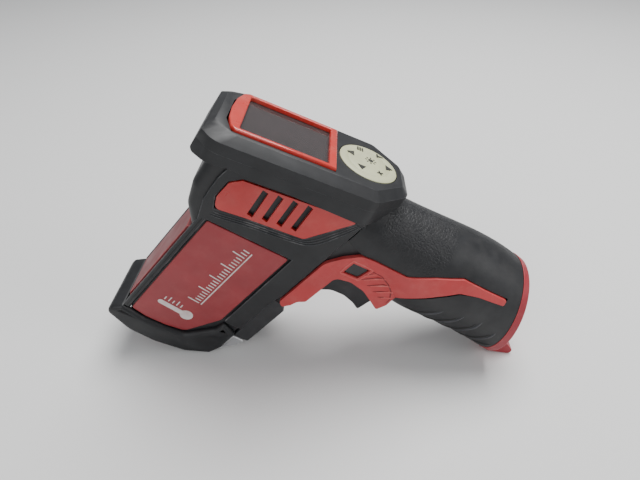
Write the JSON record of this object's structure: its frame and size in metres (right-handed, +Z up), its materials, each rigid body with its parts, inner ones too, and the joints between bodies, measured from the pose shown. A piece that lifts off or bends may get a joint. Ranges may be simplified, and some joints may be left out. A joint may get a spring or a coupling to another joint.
{
  "type": "infrared thermometer",
  "caption": "Pistol-grip infrared thermometer with tilted rear display, round keypad, pull trigger and open battery bay.",
  "frame": {"origin": "under the middle of the tool, on the surface it lies on, nose edge and grip lip both touching it", "axes": "+Z up, +X from the nose towards the foot of the grip, +Y towards the tool's right side; Y = 0 is its middle plane"},
  "size_m": [0.214, 0.048, 0.1352],
  "materials": {
    "shell_black": "fine moulded texture",
    "rubber_black": "satin overmould, lightly scuffed",
    "trim_red": "satin, dusty",
    "vent_red": "satin",
    "surround_red": "moulded matte",
    "bezel_red": "gloss",
    "display_glass": "clear, lightly scratched",
    "lens_glass": "polished",
    "key_cream": "matte silicone",
    "trigger_black": "satin",
    "silver_plastic": "satin",
    "tube_metal": "turned",
    "steel": "bright",
    "board_green": "solder mask",
    "chip_black": "moulded",
    "foam_black": "foam",
    "lcd_grey": "film",
    "plunger_white": "moulded",
    "contact_brass": "plated",
    "lead_red": "wire insulation",
    "lead_black": "wire insulation"
  },
  "bodies": {
    "housing": {"battery_contacts": "contact_brass", "battery_lead_black": "lead_black", "battery_lead_red": "lead_red", "board_chips": "chip_black", "butt_rim": "surround_red", "buzzer": "chip_black", "display_bezel": "bezel_red", "display_board": "board_green", "display_gasket": "foam_black", "display_window": "display_glass", "front_bezel": "trigger_black", "grip_left": "rubber_black", "grip_right": "rubber_black", "housing_left": "shell_black", "housing_right": "shell_black", "housing_screws": "steel", "ir_lens": "lens_glass", "key_domes": "steel", "laser_modules": "tube_metal", "laser_windows": "lens_glass", "lcd_module": "lcd_grey", "lens_ring": "bezel_red", "lens_tube": "tube_metal", "louver_insert_left": "vent_red", "louver_insert_right": "vent_red", "main_board": "board_green", "nose_bumper": "rubber_black", "pod_back_cover": "rubber_black", "pod_front_cover": "rubber_black", "sensor_board": "board_green", "side_frame_left": "rubber_black", "side_frame_right": "rubber_black", "side_panel_left": "trim_red", "side_panel_right": "trim_red", "switch_lead": "lead_black", "terminal_block": "chip_black", "thermopile_sensor": "steel", "top_strip": "trim_red", "trigger_pin": "steel", "trigger_spring": "steel", "trigger_surround_left": "surround_red", "trigger_surround_right": "surround_red", "trigger_switch": "chip_black", "under_barrel_block": "trigger_black", "underside_plate": "silver_plastic"},
    "trigger": {"trigger": "trigger_black"},
    "lock": {"lock_slide": "trigger_black"},
    "keypad": {"keypad": "key_cream"},
    "plunger": {"switch_plunger": "plunger_white"}
  },
  "joints": [
    {"name": "trigger_pull", "type": "hinge", "parent": "housing", "child": "trigger", "pos_m": [0.00581, 0, 0.06397], "axis": [0, -1, 0], "range_deg": [0, 5.5], "stiffness_Nm_per_rad": 0.6, "springref_deg": -4.58},
    {"name": "lock_shift", "type": "slide", "parent": "housing", "child": "lock", "axis": [0, 1, 0], "range_m": [-0.0015, 0.0015]},
    {"name": "keypad_press", "type": "slide", "parent": "housing", "child": "keypad", "axis": [-0.3874, 0, -0.9219], "range_m": [0, 0.0008], "stiffness_N_per_m": 1200, "springref_m": -0.0004},
    {"name": "switch_press", "type": "slide", "parent": "housing", "child": "plunger", "axis": [0.6493, 0, 0.7605], "range_m": [0, 0.0017], "stiffness_N_per_m": 30, "springref_m": -0.001}
  ],
  "couplings": [
    {"joint": "switch_press", "follows": "trigger_pull", "m_per_rad": 0.0168}
  ]
}
